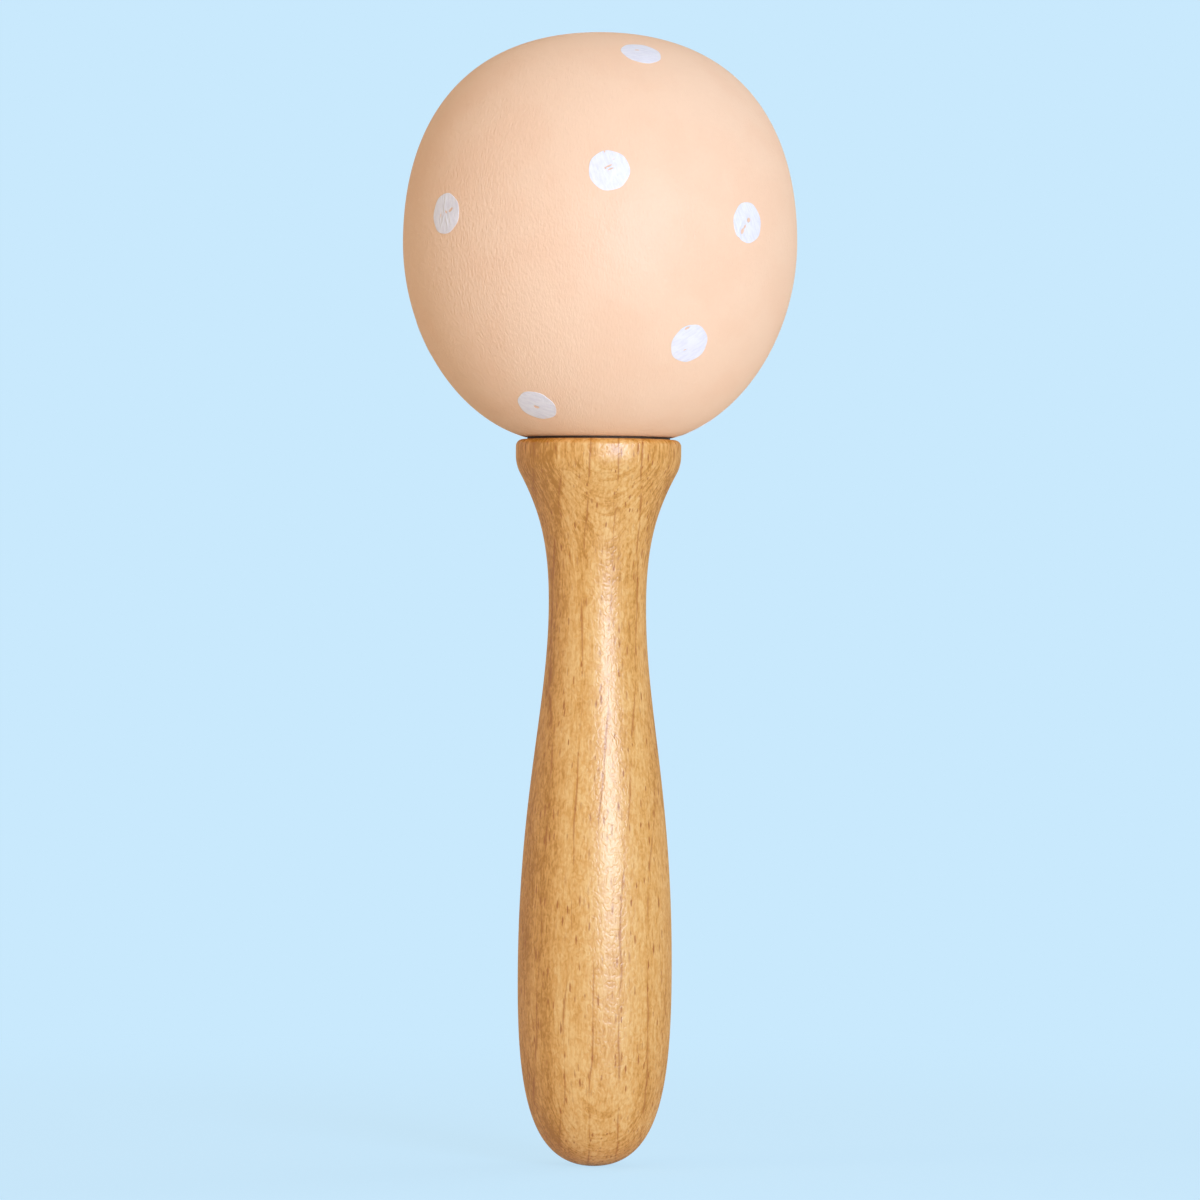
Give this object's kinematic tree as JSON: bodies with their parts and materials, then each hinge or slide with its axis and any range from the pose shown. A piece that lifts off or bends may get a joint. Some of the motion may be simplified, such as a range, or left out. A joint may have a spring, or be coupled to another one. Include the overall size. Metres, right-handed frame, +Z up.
{
  "type": "maraca",
  "caption": "Turned wooden maraca with a hollow painted head, white polka dots, loose pellets inside and a waisted natural wood grip with a collar.",
  "frame": {"origin": "on the handle's axis, at the widest circle of the grip's belly, where a hand closes on it", "axes": "+Z up along the grip to the head, -Y the front in the picture, +X to the right there"},
  "size_m": [0.0696, 0.0696, 0.2],
  "materials": {
    "head_paint": "matt peach paint on turned wood",
    "dot_paint": "white paint",
    "handle_wood": "satin clear lacquer",
    "pellet_steel": "plain bright steel"
  },
  "bodies": {
    "shaker": {"head_upper_shell": "head_paint", "head_lower_shell": "head_paint", "handle": "handle_wood", "painted_dots": "dot_paint"},
    "pellet_01": {"pellet_01": "pellet_steel"},
    "pellet_02": {"pellet_02": "pellet_steel"},
    "pellet_03": {"pellet_03": "pellet_steel"},
    "pellet_04": {"pellet_04": "pellet_steel"},
    "pellet_05": {"pellet_05": "pellet_steel"},
    "pellet_06": {"pellet_06": "pellet_steel"},
    "pellet_07": {"pellet_07": "pellet_steel"},
    "pellet_08": {"pellet_08": "pellet_steel"},
    "pellet_09": {"pellet_09": "pellet_steel"},
    "pellet_10": {"pellet_10": "pellet_steel"},
    "pellet_11": {"pellet_11": "pellet_steel"},
    "pellet_12": {"pellet_12": "pellet_steel"},
    "pellet_13": {"pellet_13": "pellet_steel"},
    "pellet_14": {"pellet_14": "pellet_steel"},
    "pellet_15": {"pellet_15": "pellet_steel"},
    "pellet_16": {"pellet_16": "pellet_steel"},
    "pellet_17": {"pellet_17": "pellet_steel"},
    "pellet_18": {"pellet_18": "pellet_steel"},
    "pellet_19": {"pellet_19": "pellet_steel"},
    "pellet_20": {"pellet_20": "pellet_steel"},
    "pellet_21": {"pellet_21": "pellet_steel"},
    "pellet_22": {"pellet_22": "pellet_steel"},
    "pellet_23": {"pellet_23": "pellet_steel"},
    "pellet_24": {"pellet_24": "pellet_steel"}
  },
  "joints": [
    {"name": "pellet_01_leap", "type": "slide", "parent": "shaker", "child": "pellet_01", "axis": [0, 0, 1], "range_m": [0, 0.0526]},
    {"name": "pellet_02_leap", "type": "slide", "parent": "shaker", "child": "pellet_02", "axis": [0, 0, 1], "range_m": [0, 0.0525]},
    {"name": "pellet_03_leap", "type": "slide", "parent": "shaker", "child": "pellet_03", "axis": [0, 0, 1], "range_m": [0, 0.0524]},
    {"name": "pellet_04_leap", "type": "slide", "parent": "shaker", "child": "pellet_04", "axis": [0, 0, 1], "range_m": [0, 0.0523]},
    {"name": "pellet_05_leap", "type": "slide", "parent": "shaker", "child": "pellet_05", "axis": [0, 0, 1], "range_m": [0, 0.0522]},
    {"name": "pellet_06_leap", "type": "slide", "parent": "shaker", "child": "pellet_06", "axis": [0, 0, 1], "range_m": [0, 0.0521]},
    {"name": "pellet_07_leap", "type": "slide", "parent": "shaker", "child": "pellet_07", "axis": [0, 0, 1], "range_m": [0, 0.0521]},
    {"name": "pellet_08_leap", "type": "slide", "parent": "shaker", "child": "pellet_08", "axis": [0, 0, 1], "range_m": [0, 0.052]},
    {"name": "pellet_09_leap", "type": "slide", "parent": "shaker", "child": "pellet_09", "axis": [0, 0, 1], "range_m": [0, 0.0519]},
    {"name": "pellet_10_leap", "type": "slide", "parent": "shaker", "child": "pellet_10", "axis": [0, 0, 1], "range_m": [0, 0.0518]},
    {"name": "pellet_11_leap", "type": "slide", "parent": "shaker", "child": "pellet_11", "axis": [0, 0, 1], "range_m": [0, 0.0517]},
    {"name": "pellet_12_leap", "type": "slide", "parent": "shaker", "child": "pellet_12", "axis": [0, 0, 1], "range_m": [0, 0.0516]},
    {"name": "pellet_13_leap", "type": "slide", "parent": "shaker", "child": "pellet_13", "axis": [0, 0, 1], "range_m": [0, 0.0515]},
    {"name": "pellet_14_leap", "type": "slide", "parent": "shaker", "child": "pellet_14", "axis": [0, 0, 1], "range_m": [0, 0.0514]},
    {"name": "pellet_15_leap", "type": "slide", "parent": "shaker", "child": "pellet_15", "axis": [0, 0, 1], "range_m": [0, 0.0513]},
    {"name": "pellet_16_leap", "type": "slide", "parent": "shaker", "child": "pellet_16", "axis": [0, 0, 1], "range_m": [0, 0.0512]},
    {"name": "pellet_17_leap", "type": "slide", "parent": "shaker", "child": "pellet_17", "axis": [0, 0, 1], "range_m": [0, 0.0511]},
    {"name": "pellet_18_leap", "type": "slide", "parent": "shaker", "child": "pellet_18", "axis": [0, 0, 1], "range_m": [0, 0.051]},
    {"name": "pellet_19_leap", "type": "slide", "parent": "shaker", "child": "pellet_19", "axis": [0, 0, 1], "range_m": [0, 0.0509]},
    {"name": "pellet_20_leap", "type": "slide", "parent": "shaker", "child": "pellet_20", "axis": [0, 0, 1], "range_m": [0, 0.0508]},
    {"name": "pellet_21_leap", "type": "slide", "parent": "shaker", "child": "pellet_21", "axis": [0, 0, 1], "range_m": [0, 0.0507]},
    {"name": "pellet_22_leap", "type": "slide", "parent": "shaker", "child": "pellet_22", "axis": [0, 0, 1], "range_m": [0, 0.0506]},
    {"name": "pellet_23_leap", "type": "slide", "parent": "shaker", "child": "pellet_23", "axis": [0, 0, 1], "range_m": [0, 0.0505]},
    {"name": "pellet_24_leap", "type": "slide", "parent": "shaker", "child": "pellet_24", "axis": [0, 0, 1], "range_m": [0, 0.0504]}
  ]
}
